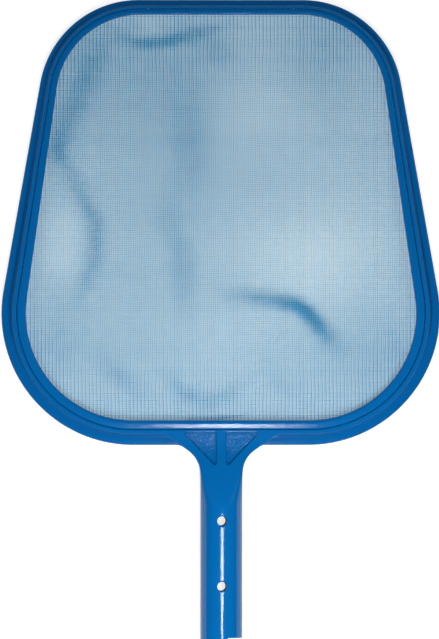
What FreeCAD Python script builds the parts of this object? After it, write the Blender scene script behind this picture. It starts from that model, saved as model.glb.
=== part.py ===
"""Leaf skimmer net: a moulded rim with its gusset and pole spigot, a retaining ring and the net between them.

X runs across the net, +Y from the pole towards the front lip, +Z up through the face with the recesses.
The origin is the middle of the whole object's footprint, on the flat that it lies on. Millimetres.
"""

import FreeCAD, Part

import math
import os

# Rim, seen from above
RIM_LENGTH = 301.4            # from the edge beside the pole to the front lip
BACK_REACH = 148.5            # half width at the back corners, the widest place
FRONT_REACH = 123.2           # half width that the front corners' circles reach
BACK_CORNER_RADIUS = 89.0
FRONT_CORNER_RADIUS = 67.7

# Width of the band between the rim's outer edge and the net's opening
BAND_BACK = 16.8
BAND_FRONT = 10.2
BAND_BACK_SIDE = 16.4
BAND_FRONT_SIDE = 11.6

# The rim's section beside the pole, as insets from the outer edge. They narrow with the band.
LEDGE_INSET = 7.2             # wall between the low flange and the raised ledge
REBATE_INSET = 10.3           # wall between the ledge and the rebate that holds the ring
SHELF_INSET = 16.3            # inner edge of the shelf that the ring sits over
CHANNEL_OUTER_INSET = 2.8     # the channel cored out of the rim's underside
CHANNEL_INNER_INSET = 14.3

# Heights above the flat that the rim lies on
FLANGE_BACK = 5.6
FLANGE_FRONT = 4.4
LEDGE_BACK = 13.5
LEDGE_FRONT = 9.0
SHELF_HEIGHT = 6.5
SHELF_THICKNESS = 2.9

# Bevels along the rim
FLANGE_BEVEL = 1.3
UNDERSIDE_BEVEL = 0.6
COVE_BEVEL = 1.8              # in the hollow corner between the flange and the ledge
LEDGE_BEVEL = 0.8
GUSSET_ROUND = 1.4            # along the gusset's sides, which run on from the ledge
REBATE_BEVEL = 0.35

# Ribs across the channel, evenly spaced along each half of the rim
RIBS_PER_SIDE = 14
RIB_THICKNESS = 1.6

# Net
NET_THICKNESS = 0.5
NET_EDGE_GAP = 0.4            # from the rebate's wall to the net's cut edge
NET_PITCH = 17.0
NET_BORDER = 1.2              # plain strip inside the ring
THREAD_WIDTH = 1.6
LEAST_GAP_SHARE = 0.12        # smaller scraps of a gap beside the ring stay closed

# Retaining ring
RING_CLEARANCE = 0.3
RING_PROUD = 1.2              # how far its crown stands above the ledge
RING_BEVEL = 1.3
RING_INNER_INSET = 16.8
TAB_INSET = 12.9              # tabs under the ring pin the net and go into slots in the shelf
TAB_LENGTH = 4.5
TAB_THICKNESS = 1.2
TAB_CLEARANCE = 0.2
TAB_SHORT = 0.4               # how far a tab stops short of the shelf's underside

# Spigot
SPIGOT_REACH = 133.9          # from the rim's edge to the spigot's end
SPIGOT_RADIUS = 14.3
SPIGOT_WALL = 2.6
BORE_DEPTH = 95.0
MOUTH_CHAMFER = 0.6
CLIP_HOLE_RADIUS = 3.2
CLIP_HOLE_BEVEL = 0.7
CLIP_HOLE_DISTANCE = 51.2     # from the rim's edge to the first pair
CLIP_HOLE_SPACING = 44.2
NOTCH_DEPTH = 3.7
NOTCH_OFFSET = 3.7            # from the spigot's middle to the notch's side
NOTCH_CORNER = 1.0

# Gusset between the rim and the spigot
GUSSET_ANGLE = 35.2           # of its slanted sides, from the rim's edge
GUSSET_DROP = 9.4             # from the rim's edge to where a slanted side would meet the spigot's side
GUSSET_FLARE_RADIUS = 19.0
GUSSET_LEDGE_RADIUS = 10.0
RAMP_START = 2.0              # from the rim's edge to where the gusset's face starts to rise
RAMP_RADIUS = 30.0
GUSSET_CORNER = 9.0           # hollow corner between the rim's edge and the gusset
NECK_LENGTH = 21.0            # where the gusset's section turns into the spigot's circle
CREASE_ANGLE = 10.0           # half of the arc that the flats of the neck's section turn into

# Recesses in the gusset's face
RECESS_INSET = 9.0            # from the rim's edge to the recess's long side
RECESS_WIDTH = 23.0
RECESS_LENGTH = 24.3
RECESS_DEPTH = 2.2
RECESS_CORNER = 1.3
CENTRE_RIB = 6.4

# Hollows cored out of the gusset's underside
CORE_WALL = 2.6
CORE_ROOF = 2.4
CORE_CORNER = 1.5

OVERALL_LENGTH = RIM_LENGTH + SPIGOT_REACH
FRONT_Y = OVERALL_LENGTH / 2
BACK_Y = FRONT_Y - RIM_LENGTH
END_Y = -OVERALL_LENGTH / 2
TALL = 3 * SPIGOT_RADIUS
TOUCHING = 1e-6               # points this near each other are one point
NEAR = 0.001                  # for places worked out by the modeller
UP = FreeCAD.Vector(0, 0, 1)


def line(start, end):
    return Part.LineSegment(start, end).toShape()


def arc(centre, radius, start, end):
    """An arc in a level plane, its angles in degrees from +X."""
    def place(angle):
        turn = math.radians(angle)
        return centre + FreeCAD.Vector(radius * math.cos(turn), radius * math.sin(turn), 0)
    return Part.Arc(place(start), place((start + end) / 2), place(end)).toShape()


def rounded_polygon(corners):
    """A closed level wire through (x, y, radius) corners, each turned by a tangent arc."""
    points = [FreeCAD.Vector(x, y, 0) for x, y, _ in corners]
    edges = []
    starts = []
    for index, (_, _, radius) in enumerate(corners):
        here = points[index]
        before = (points[index - 1] - here).normalize()
        after = (points[(index + 1) % len(points)] - here).normalize()
        half = before.getAngle(after) / 2
        reach = radius / math.tan(half)
        first = here + before * reach
        last = here + after * reach
        if radius:
            middle = (before + after).normalize()
            nearest = here + middle * (radius / math.sin(half) - radius)
            edges.append(Part.Arc(first, nearest, last).toShape())
        starts.append((first, last))
    for index, (_, last) in enumerate(starts):
        following = starts[(index + 1) % len(starts)][0]
        if last.distanceToPoint(following) > TOUCHING:
            edges.append(line(last, following))
    return Part.Wire(Part.__sortEdges__(edges))


def prism(wire, low, high):
    level = wire.copy()
    level.translate(FreeCAD.Vector(0, 0, low))
    return Part.Face(level).extrude(UP * (high - low))


def under(profile, half_width):
    """The block under a side profile of (y, z, radius) corners that runs from the back forwards."""
    outline = [(profile[0][0], -TALL, 0)] + profile + [(profile[-1][0], -TALL, 0)]
    block = prism(rounded_polygon(outline), -half_width, half_width)
    block.rotate(FreeCAD.Vector(0, 0, 0), FreeCAD.Vector(1, 1, 1), 120)
    return block


def edges_where(shape, test):
    return [edge for edge in shape.Edges if test(edge)]


def corner_circles(inset):
    """Centre and radius of the back right and front right corners of the line at an inset."""
    share = inset / BAND_BACK
    back_radius = BACK_CORNER_RADIUS - inset
    front_radius = FRONT_CORNER_RADIUS - share * BAND_FRONT
    back = FreeCAD.Vector(BACK_REACH - share * BAND_BACK_SIDE - back_radius, BACK_Y + inset + back_radius, 0)
    front = FreeCAD.Vector(FRONT_REACH - share * BAND_FRONT_SIDE - front_radius,
                           FRONT_Y - share * BAND_FRONT - front_radius, 0)
    return back, back_radius, front, front_radius


def right_side(inset):
    """The two corners of the line at an inset and the tangent between them."""
    back, back_radius, front, front_radius = corner_circles(inset)
    apart = front - back
    lean = math.asin((back_radius - front_radius) / apart.Length) + math.atan2(-apart.x, apart.y)
    lean = math.degrees(lean)
    lower = arc(back, back_radius, -90, lean)
    upper = arc(front, front_radius, lean, 90)
    return [lower, line(lower.Vertexes[-1].Point, upper.Vertexes[0].Point), upper]


def mirrored(shape):
    return shape.mirror(FreeCAD.Vector(0, 0, 0), FreeCAD.Vector(1, 0, 0))


def rim_line(inset):
    right = right_side(inset)
    start = right[0].Vertexes[0].Point
    end = right[-1].Vertexes[-1].Point
    back = line(FreeCAD.Vector(-start.x, start.y, 0), start)
    front = line(end, FreeCAD.Vector(-end.x, end.y, 0))
    left = [mirrored(edge) for edge in right]
    return Part.Wire(Part.__sortEdges__([back, front] + right + left))


def half_line_points(inset, steps):
    """Points at even steps along the right half of a line, from the back's middle to the front's."""
    right = right_side(inset)
    start = right[0].Vertexes[0].Point
    end = right[-1].Vertexes[-1].Point
    path = [line(FreeCAD.Vector(0, start.y, 0), start)] + right + [line(end, FreeCAD.Vector(0, end.y, 0))]
    return Part.Wire(path).discretize(Number=steps + 1)


def rim_top(back_height, front_height):
    """Everything under a top that slopes evenly from the rim's back edge to its front lip."""
    fall = (front_height - back_height) / RIM_LENGTH
    ends = [BACK_Y - RIM_LENGTH, FRONT_Y + RIM_LENGTH]
    profile = [(y, back_height + fall * (y - BACK_Y), 0) for y in ends]
    return under(profile, 2 * BACK_REACH)


def ledge_height(y):
    return LEDGE_BACK + (LEDGE_FRONT - LEDGE_BACK) * (y - BACK_Y) / RIM_LENGTH


def tab_outlines(clearance):
    """The outlines of the ring's tabs, one between each two ribs, each grown by a clearance."""
    half_length = TAB_LENGTH / 2 + clearance
    half_thickness = TAB_THICKNESS / 2 + clearance
    outer = half_line_points(0, 2 * RIBS_PER_SIDE)[1::2]
    inner = half_line_points(BAND_BACK, 2 * RIBS_PER_SIDE)[1::2]
    outlines = []
    for start, end in zip(outer, inner):
        centre = start + (end - start) * (TAB_INSET / BAND_BACK)
        across = (end - start).normalize() * half_thickness
        along = across.cross(UP).normalize() * half_length
        corners = [centre + along + across, centre - along + across,
                   centre - along - across, centre + along - across]
        outlines.append(Part.makePolygon(corners + corners[:1]))
    return outlines + [mirrored(outline) for outline in outlines]


def tabs(clearance, low, high):
    return [prism(outline, low, high) for outline in tab_outlines(clearance)]


# Places along the gusset, worked out from the rim and the spigot
LEDGE_Y = BACK_Y + LEDGE_INSET
GUSSET_SLOPE = math.radians(GUSSET_ANGLE)
FLARE_TANGENT = GUSSET_FLARE_RADIUS * math.tan((math.pi / 2 - GUSSET_SLOPE) / 2)
LEDGE_TANGENT = GUSSET_LEDGE_RADIUS * math.tan(GUSSET_SLOPE / 2)
NECK_Y = BACK_Y - GUSSET_DROP - FLARE_TANGENT
ROUND_Y = NECK_Y - NECK_LENGTH
RAMP_Y = BACK_Y - RAMP_START
RAMP_RISE = (2 * SPIGOT_RADIUS - ledge_height(RAMP_Y)) / (RAMP_Y - ROUND_Y)


def ramp_height(y):
    """Height of the gusset's sloping face, which rises from the ledge to the spigot's crest."""
    return ledge_height(RAMP_Y) + RAMP_RISE * (RAMP_Y - y)


def gusset_side_x(y):
    """Where the straight slanted side stands at a place along the gusset."""
    return SPIGOT_RADIUS + (y - BACK_Y + GUSSET_DROP) / math.tan(GUSSET_SLOPE)


def under_gusset_face(drop):
    """Everything below the ledge's and the gusset's face, less a drop."""
    low_y = ROUND_Y - NECK_LENGTH
    high_y = LEDGE_Y + BAND_BACK
    return under([(low_y, ramp_height(low_y) - drop, 0), (RAMP_Y, ledge_height(RAMP_Y) - drop, RAMP_RADIUS),
                  (high_y, ledge_height(high_y) - drop, 0)], BACK_REACH)


def gusset():
    """The gusset from the ledge to the start of the neck, its face's edges rounded and its foot bevelled."""
    ledge_x = gusset_side_x(LEDGE_Y)
    far_x = ledge_x + 2 * LEDGE_TANGENT
    inner_y = (LEDGE_Y + BACK_Y + REBATE_INSET) / 2
    right = [(far_x, inner_y, 0), (far_x, LEDGE_Y, 0), (ledge_x, LEDGE_Y, GUSSET_LEDGE_RADIUS),
             (SPIGOT_RADIUS, BACK_Y - GUSSET_DROP, GUSSET_FLARE_RADIUS), (SPIGOT_RADIUS, NECK_Y, 0)]
    left = [(-x, y, radius) for x, y, radius in reversed(right)]
    block = prism(rounded_polygon(right + left), 0, TALL).common(under_gusset_face(0))

    def along_side(edge):
        ends = [vertex.Point for vertex in edge.Vertexes]
        across = ends[0].x * ends[1].x < 0
        in_ledge = max(end.y for end in ends) > LEDGE_Y + TOUCHING
        return not across and not in_ledge and edge.BoundBox.ZLength < edge.Length / 2
    face_edges = edges_where(block, lambda edge: along_side(edge) and edge.BoundBox.ZMin > LEDGE_FRONT)
    block = block.makeFillet(GUSSET_ROUND, face_edges)
    foot = edges_where(block, lambda edge: along_side(edge) and edge.BoundBox.ZMax < TOUCHING)
    return block.makeChamfer(UNDERSIDE_BEVEL, foot)


def skirt():
    """The low corner between the rim's outer edge and the gusset's sides."""
    corner_x = gusset_side_x(BACK_Y)
    low_y = BACK_Y - GUSSET_DROP / 2
    far_x = corner_x + 2 * GUSSET_CORNER
    right = [(far_x, LEDGE_Y, 0), (far_x, BACK_Y, 0), (corner_x, BACK_Y, GUSSET_CORNER),
             (gusset_side_x(low_y), low_y, 0)]
    left = [(-x, y, radius) for x, y, radius in reversed(right)]
    return prism(rounded_polygon(right + left), 0, TALL)


def on_circle(y, angle):
    """A point on the spigot's outside, at an angle in degrees from +X towards +Z."""
    turn = math.radians(angle)
    return FreeCAD.Vector(SPIGOT_RADIUS * math.cos(turn), y, SPIGOT_RADIUS * (1 + math.sin(turn)))


def neck():
    """The loft from the gusset's flat-sided section to the spigot's circle."""
    side = SPIGOT_RADIUS
    top = ramp_height(NECK_Y)
    half = [(side, UNDERSIDE_BEVEL), (side, top - GUSSET_ROUND), (side - GUSSET_ROUND, top)]
    foot = [(UNDERSIDE_BEVEL - side, 0), (side - UNDERSIDE_BEVEL, 0)]
    ring = half + [(-x, z) for x, z in reversed(half)] + foot
    squared = [FreeCAD.Vector(x, NECK_Y, z) for x, z in ring]
    bounds = [90 * quarter + turn for quarter in range(4) for turn in (-CREASE_ANGLE, CREASE_ANGLE)]
    rounded = []
    for first, last in zip(bounds, bounds[1:] + [360 - CREASE_ANGLE]):
        points = [on_circle(ROUND_Y, angle) for angle in (first, (first + last) / 2, last)]
        rounded.append(Part.Arc(*points).toShape())
    return Part.makeLoft([Part.makePolygon(squared + squared[:1]), Part.Wire(rounded)], True, True)


def along_spigot(radius, start_y, length):
    start = FreeCAD.Vector(0, start_y, SPIGOT_RADIUS)
    return Part.makeCylinder(radius, length, start, FreeCAD.Vector(0, 1, 0))


def clip_hole_places():
    first = BACK_Y - CLIP_HOLE_DISTANCE
    return [first, first - CLIP_HOLE_SPACING]


def spigot():
    """The hollow spigot with its two pairs of clip holes and the notch in its end."""
    tube = along_spigot(SPIGOT_RADIUS, END_Y, ROUND_Y - END_Y)
    mouth = edges_where(tube, lambda edge: edge.BoundBox.YMax < END_Y + TOUCHING)
    tube = tube.makeChamfer(MOUTH_CHAMFER, mouth)
    below = [FreeCAD.Vector(0, y, -SPIGOT_RADIUS) for y in clip_hole_places()]
    tube = tube.cut([Part.makeCylinder(CLIP_HOLE_RADIUS, 4 * SPIGOT_RADIUS, place) for place in below])

    def around_hole(edge):
        box = edge.BoundBox
        return box.XMax < SPIGOT_RADIUS / 2 and min(box.XLength, box.YLength) > CLIP_HOLE_RADIUS
    return tube.makeChamfer(CLIP_HOLE_BEVEL, edges_where(tube, around_hole))


def end_notch():
    top_y = END_Y + NOTCH_DEPTH
    reach = 2 * SPIGOT_RADIUS
    corners = [(NOTCH_OFFSET, END_Y - NOTCH_DEPTH, 0), (NOTCH_OFFSET, top_y, NOTCH_CORNER),
               (reach, top_y, 0), (reach, END_Y - NOTCH_DEPTH, 0)]
    return prism(rounded_polygon(corners), -SPIGOT_RADIUS, 3 * SPIGOT_RADIUS)


def recess():
    """The right triangular recess in the gusset's face."""
    top_y = BACK_Y + RECESS_INSET
    inner_x = CENTRE_RIB / 2
    corners = [(inner_x, top_y, RECESS_CORNER), (inner_x + RECESS_WIDTH, top_y, RECESS_CORNER),
               (inner_x, top_y - RECESS_LENGTH, RECESS_CORNER)]
    return prism(rounded_polygon(corners), 0, TALL).cut(under_gusset_face(RECESS_DEPTH))


def underside_core():
    """The right hollow under the gusset, between the rim, its side, the centre rib and the bore's end."""
    top_y = BACK_Y
    inner_x = CENTRE_RIB / 2
    spigot_x = SPIGOT_RADIUS - CORE_WALL
    drop = CORE_WALL / math.sin(GUSSET_SLOPE)
    shift = CORE_WALL / math.cos(GUSSET_SLOPE)
    bend_y = BACK_Y - GUSSET_DROP + shift - CORE_WALL * math.tan(GUSSET_SLOPE)
    end_y = END_Y + BORE_DEPTH + CORE_WALL
    corners = [(inner_x, top_y, CORE_CORNER), (gusset_side_x(top_y) - drop, top_y, CORE_CORNER),
               (spigot_x, bend_y, GUSSET_FLARE_RADIUS / 2), (spigot_x, end_y, CORE_CORNER),
               (inner_x, end_y, CORE_CORNER)]
    return prism(rounded_polygon(corners), -TALL, TALL).common(under_gusset_face(RECESS_DEPTH + CORE_ROOF))


def channel():
    """The channel under the rim, parted by the ribs across it."""
    roof = SHELF_HEIGHT - SHELF_THICKNESS
    hollow = prism(rim_line(CHANNEL_OUTER_INSET), -TALL, roof).cut(
        prism(rim_line(CHANNEL_INNER_INSET), -2 * TALL, TALL))
    outer = half_line_points(0, RIBS_PER_SIDE)
    inner = half_line_points(BAND_BACK, RIBS_PER_SIDE)
    ribs = []
    for start, end in zip(outer, inner):
        across = (end - start).cross(UP).normalize() * (RIB_THICKNESS / 2)
        corners = [start + across, end + across, end - across, start - across]
        ribs.append(prism(Part.makePolygon(corners + corners[:1]), -2 * TALL, TALL))
        if abs(start.x) > TOUCHING:
            ribs.append(mirrored(ribs[-1]))
    return hollow.cut(ribs)


def on_rim_top(edge, back_height, front_height):
    """Whether an edge lies in the sloping top with these heights."""
    fall = (front_height - back_height) / RIM_LENGTH
    return all(abs(vertex.Z - back_height - fall * (vertex.Y - BACK_Y)) < NEAR for vertex in edge.Vertexes)


def rim():
    """The low flange and the raised ledge, bevelled, with a sloping foot between them."""
    outline = prism(rim_line(0), 0, TALL).fuse(skirt())
    flange = outline.common(rim_top(FLANGE_BACK, FLANGE_FRONT)).removeSplitter()
    top = edges_where(flange, lambda edge: on_rim_top(edge, FLANGE_BACK, FLANGE_FRONT))
    flange = flange.makeChamfer(FLANGE_BEVEL, top)
    foot = edges_where(flange, lambda edge: edge.BoundBox.ZMax < TOUCHING)
    flange = flange.makeChamfer(UNDERSIDE_BEVEL, foot)
    ledge = prism(rim_line(LEDGE_INSET), 0, TALL).common(rim_top(LEDGE_BACK, LEDGE_FRONT))
    top = edges_where(ledge, lambda edge: on_rim_top(edge, LEDGE_BACK, LEDGE_FRONT))
    ledge = ledge.makeChamfer(LEDGE_BEVEL, top)
    body = flange.fuse(ledge)

    def in_corner(edge):
        return on_rim_top(edge, FLANGE_BACK, FLANGE_FRONT) and edge.distToShape(ledge)[0] < TOUCHING
    return body.makeChamfer(COVE_BEVEL, edges_where(body, in_corner))


def main_frame():
    """The rim, gusset and spigot in one moulding."""
    body = rim().fuse([gusset(), neck(), spigot()])
    rebate = prism(rim_line(REBATE_INSET), SHELF_HEIGHT, TALL)
    opening = prism(rim_line(SHELF_INSET), -TALL, TALL)
    body = body.cut([rebate, opening])
    rebate_wall = rim_line(REBATE_INSET).extrude(UP * TALL)

    def on_lip(edge):
        return on_rim_top(edge, LEDGE_BACK, LEDGE_FRONT) and edge.distToShape(rebate_wall)[0] < TOUCHING
    body = body.makeChamfer(REBATE_BEVEL, edges_where(body, on_lip))
    hollows = [recess(), underside_core()]
    hollows += [mirrored(hollow) for hollow in hollows]
    bore = along_spigot(SPIGOT_RADIUS - SPIGOT_WALL, END_Y - SPIGOT_WALL, BORE_DEPTH + SPIGOT_WALL)
    slots = tabs(TAB_CLEARANCE, SHELF_HEIGHT - SHELF_THICKNESS - TAB_CLEARANCE, TALL)
    return body.cut(hollows + [bore, end_notch(), channel()] + slots).removeSplitter()


def retaining_ring():
    """The bead that clamps the net, with the tabs under it."""
    low = SHELF_HEIGHT + NET_THICKNESS
    bead = prism(rim_line(REBATE_INSET + RING_CLEARANCE), low, TALL)
    bead = bead.cut(prism(rim_line(RING_INNER_INSET), 0, TALL))
    back_height = LEDGE_BACK + RING_PROUD
    front_height = LEDGE_FRONT + RING_PROUD
    bead = bead.common(rim_top(back_height, front_height))
    crown = edges_where(bead, lambda edge: on_rim_top(edge, back_height, front_height))
    bead = bead.makeChamfer(RING_BEVEL, crown)
    return bead.fuse(tabs(0, SHELF_HEIGHT - SHELF_THICKNESS + TAB_SHORT, low + NET_THICKNESS))


def net_gaps():
    """The net's square gaps, cut off along the ring."""
    gap = NET_PITCH - THREAD_WIDTH
    columns = math.ceil(BACK_REACH / NET_PITCH)
    rows = math.ceil(RIM_LENGTH / NET_PITCH / 2)
    first = FreeCAD.Vector(THREAD_WIDTH / 2, (FRONT_Y + BACK_Y + THREAD_WIDTH) / 2, 0)
    opening = Part.Face(rim_line(RING_INNER_INSET + NET_BORDER))
    gaps = []
    for column in range(-columns, columns):
        for row in range(-rows, rows):
            corner = first + FreeCAD.Vector(column * NET_PITCH, row * NET_PITCH, 0)
            hole = Part.makePlane(gap, gap, corner).common(opening)
            if hole.Area > LEAST_GAP_SHARE * gap * gap:
                gaps.append(hole)
    return gaps


def net():
    """The net: one holed face with its edge and its slots for the tabs under the ring."""
    slots = [Part.Face(outline) for outline in tab_outlines(TAB_CLEARANCE)]
    sheet = Part.Face(rim_line(REBATE_INSET + NET_EDGE_GAP)).cut(net_gaps() + slots).Faces[0]
    sheet.translate(UP * SHELF_HEIGHT)
    return sheet.extrude(UP * NET_THICKNESS)


def main():
    os.makedirs("parts", exist_ok=True)
    print("gaps in the net:", len(net_gaps()))
    pieces = {"main_frame": main_frame(), "retaining_ring": retaining_ring(), "net": net()}
    for name, shape in pieces.items():
        print(name, "valid", shape.isValid(), "solids", len(shape.Solids), "volume", round(shape.Volume))
        shape.exportStep("parts/" + name + ".step")


main()
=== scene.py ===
import math

import bmesh
import bpy
import numpy as np
from mathutils import Matrix, Vector


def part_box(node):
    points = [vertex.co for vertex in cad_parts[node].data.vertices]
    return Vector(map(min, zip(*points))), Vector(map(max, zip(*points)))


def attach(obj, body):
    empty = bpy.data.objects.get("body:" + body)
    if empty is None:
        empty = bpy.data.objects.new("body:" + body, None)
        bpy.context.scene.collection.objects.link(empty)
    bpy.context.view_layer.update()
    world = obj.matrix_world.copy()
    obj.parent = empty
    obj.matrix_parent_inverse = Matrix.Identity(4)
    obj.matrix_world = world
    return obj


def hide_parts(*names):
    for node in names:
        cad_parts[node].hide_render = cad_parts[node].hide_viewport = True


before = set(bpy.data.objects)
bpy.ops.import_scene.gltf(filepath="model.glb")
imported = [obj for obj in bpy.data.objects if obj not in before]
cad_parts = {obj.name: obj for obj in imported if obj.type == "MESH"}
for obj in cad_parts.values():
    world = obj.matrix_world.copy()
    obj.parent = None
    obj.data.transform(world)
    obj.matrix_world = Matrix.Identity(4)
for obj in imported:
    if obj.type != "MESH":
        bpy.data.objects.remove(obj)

bl_info = {
    "name": "Leaf Skimmer Net",
    "version": (1, 0, 0),
    "blender": (4, 5, 0),
    "location": "View3D > Sidebar > Skimmer",
    "description": "Models a flat leaf skimmer head: moulded frame, retaining ring and woven net",
    "category": "Object",
}

# The moulding's box gives the rim's reach, the spigot's end and the spigot's radius
FRAME_LOW, FRAME_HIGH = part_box("main_frame")
NET_LOW, NET_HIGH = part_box("net")
SPIGOT_RADIUS = FRAME_HIGH.z / 2
FRONT_Y = FRAME_HIGH.y
END_Y = FRAME_LOW.y
TALL = 3 * SPIGOT_RADIUS
CORE_DEPTH = 1.5 * TALL          # the hollows' cutters reach this far down, through the underside
MERGE = 1e-6                     # points nearer than this are one point
SLIP = 2e-5                      # joined solids pass this far into each other's faces
PLUG = 0.003                     # the neck reaches this far into the gusset
RUN_STEPS = 8                    # edges along each straight stretch of the rim
CORNER_STEPS = 44                # edges round each corner of the rim
ROUND_STEPS = 72                 # edges round the spigot
NECK_STEPS = 8                   # loops along the neck
SLICE = 0.001                    # between cuts across a face that bends
THREAD_SIDES = 4                 # corners of a thread's section
HOLE_STEPS = 40                  # edges round a clip hole
FLANGE_STEPS = 6                 # edges across the flange's rounding and the cove
SIDE_STEPS = 5                   # edges across the rounding of the gusset's sides
LEDGE_STEPS = 4                  # edges across the ledge's rounding
FOOT_STEPS = 3                   # edges across the roundings underneath and at the spigot's end
FINE_STEPS = 2                   # edges across the small roundings
CROWN_STEPS = (4, 5, 7)          # edges across the crown's outer rounding, slope and inner rounding
LIP_BEND = 0.3                   # where the lip of a recess bends, as a share of its width
SHARP_ANGLE = math.radians(38)   # edges that bend more than this stay sharp
FINISHES = 2                     # material slots of each solid, for plain and stippled faces
FLOOR_DROP = 0.0001              # how far the floor lies below the object
SHADE_DROP = 0.00005             # how far the floor's patch with the net's painted shadow lies below the object


def size(name, description, default):
    """A length that a user can change, in metres."""
    return bpy.props.FloatProperty(name=name, description=description, default=default,
                                   unit="LENGTH", precision=5)


def amount(name, description, default, highest=1.0):
    return bpy.props.FloatProperty(name=name, description=description, default=default,
                                   min=0.0, max=highest)


def turned(name, description, degrees):
    return bpy.props.FloatProperty(name=name, description=description, default=math.radians(degrees),
                                   subtype="ANGLE")


def colour(name, description, default):
    return bpy.props.FloatVectorProperty(name=name, description=description, default=default,
                                         min=0.0, max=1.0, subtype="COLOR")


def place_of(name, description, default):
    return bpy.props.FloatVectorProperty(name=name, description=description, default=default,
                                         subtype="TRANSLATION")


def number(name, description, default, lowest=0):
    return bpy.props.IntProperty(name=name, description=description, default=default, min=lowest)


class RimSizes(bpy.types.PropertyGroup):
    length: size("Length", "From the edge beside the spigot to the front lip", 0.3014)
    front_reach: size("Front reach", "Half width that the front corners' circles reach", 0.1232)
    back_radius: size("Back corner", "Radius of the two corners beside the spigot", 0.089)
    front_radius: size("Front corner", "Radius of the two corners of the front lip", 0.0677)
    band_back: size("Band at the back", "Width of the band beside the spigot", 0.0168)
    band_front: size("Band at the front", "Width of the band along the front lip", 0.0102)
    band_back_side: size("Band at the back corners", "Width of the band at the widest place", 0.0164)
    band_front_side: size("Band at the front corners", "Width of the band beside the front corners", 0.0116)
    ledge_inset: size("Ledge inset", "From the outer edge to the raised ledge's wall", 0.0072)
    rebate_inset: size("Rebate inset", "From the outer edge to the ring's rebate", 0.0103)
    shelf_inset: size("Shelf inset", "From the outer edge to the shelf's inner edge", 0.0163)
    channel_outer: size("Channel's outer wall", "From the outer edge to the hollow underneath", 0.0028)
    channel_inner: size("Channel's inner wall", "From the outer edge to the hollow's far side", 0.0143)
    flange_back: size("Flange at the back", "Height of the low flange beside the spigot", 0.0056)
    flange_front: size("Flange at the front", "Height of the low flange at the front lip", 0.0044)
    ledge_back: size("Ledge at the back", "Height of the raised ledge beside the spigot", 0.0135)
    ledge_front: size("Ledge at the front", "Height of the raised ledge at the front lip", 0.009)
    shelf_thickness: size("Shelf thickness", "Thickness of the shelf over the hollow", 0.0029)
    flange_round: size("Flange rounding", "Radius along the flange's outer edge", 0.0016)
    cove_round: size("Cove", "Radius in the corner between the flange and the ledge", 0.002)
    ledge_round: size("Ledge rounding", "Radius along the ledge's outer edge", 0.0009)
    fine_round: size("Fine rounding", "Radius along the small edges", 0.0003)
    foot_round: size("Foot rounding", "Radius along the edges of the underside", 0.0006)
    rib_count: number("Ribs", "Ribs under each half of the rim", 14, 2)
    rib_thickness: size("Rib thickness", "Thickness of the ribs under the rim", 0.0016)


class RingSizes(bpy.types.PropertyGroup):
    clearance: size("Clearance", "Gap between the ring and the rebate's wall", 0.0003)
    proud: size("Proud", "How far the crown stands above the ledge", 0.0012)
    outer_round: size("Outer rounding", "Radius along the crown's edge beside the ledge", 0.001)
    inner_round: size("Inner rounding", "Radius along the crown's edge beside the net", 0.0022)
    crown_fall: size("Crown fall", "How much lower the crown is beside the ledge", 0.00045)
    crown_bend: amount("Crown bend", "How much the crown's slope eases towards the net", 0.38)
    inner_inset: size("Inner inset", "From the rim's outer edge to the ring's inner wall", 0.0168)
    tab_inset: size("Tab inset", "From the rim's outer edge to the middle of a tab", 0.0129)
    tab_length: size("Tab length", "Length of a tab along the ring", 0.0045)
    tab_thickness: size("Tab thickness", "Thickness of a tab", 0.0012)
    tab_clearance: size("Tab clearance", "Gap round a tab in its slot", 0.0002)
    tab_short: size("Tab short", "How far a tab stops short of the shelf's underside", 0.0004)


class SpigotSizes(bpy.types.PropertyGroup):
    wall: size("Wall", "Thickness of the spigot's wall", 0.0026)
    bore_depth: size("Bore depth", "Depth of the bore from the spigot's end", 0.095)
    mouth_round: size("Mouth rounding", "Radius round the spigot's end", 0.0006)
    hole_radius: size("Clip hole", "Radius of the holes for the pole's clip", 0.0032)
    hole_flare: size("Clip hole's flare", "How much wider a hole is at the surface", 0.0008)
    hole_distance: size("Hole distance", "From the rim's edge to the first pair of holes", 0.0512)
    hole_spacing: size("Hole spacing", "Between the two pairs of holes", 0.0442)
    notch_depth: size("Notch depth", "Depth of the notch in the spigot's end", 0.0037)
    notch_offset: size("Notch offset", "From the spigot's middle to the notch", 0.0037)
    notch_corner: size("Notch corner", "Radius of the notch's corner", 0.001)
    neck_length: size("Neck length", "Where the gusset's section turns into a circle", 0.021)
    crease_angle: turned("Crease angle", "Half of the arc that each flat of the neck turns into", 10)


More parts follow.
